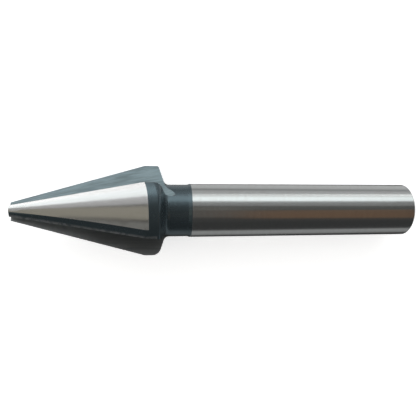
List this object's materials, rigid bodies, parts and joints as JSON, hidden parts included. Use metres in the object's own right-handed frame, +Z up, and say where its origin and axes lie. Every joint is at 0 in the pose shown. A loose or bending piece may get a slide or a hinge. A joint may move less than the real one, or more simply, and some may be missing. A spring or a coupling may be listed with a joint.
{
  "type": "countersink bit",
  "caption": "Conical countersink bit of steel with fluted cutting head, bright ground lands, dark oxide flutes and a straight shank for a drill chuck.",
  "frame": {"origin": "middle of the object's box seen from above, on the table it lies on", "axes": "+X towards the shank end, +Z up; the bit lies on one flute's two corners and on the rim of the shank, its point raised about 3 degrees"},
  "size_m": [0.0756, 0.0166, 0.016],
  "materials": {
    "steel": "ground bright on the shank and lands, black oxide elsewhere"
  },
  "bodies": {
    "root": {"countersink": "steel"}
  },
  "joints": []
}
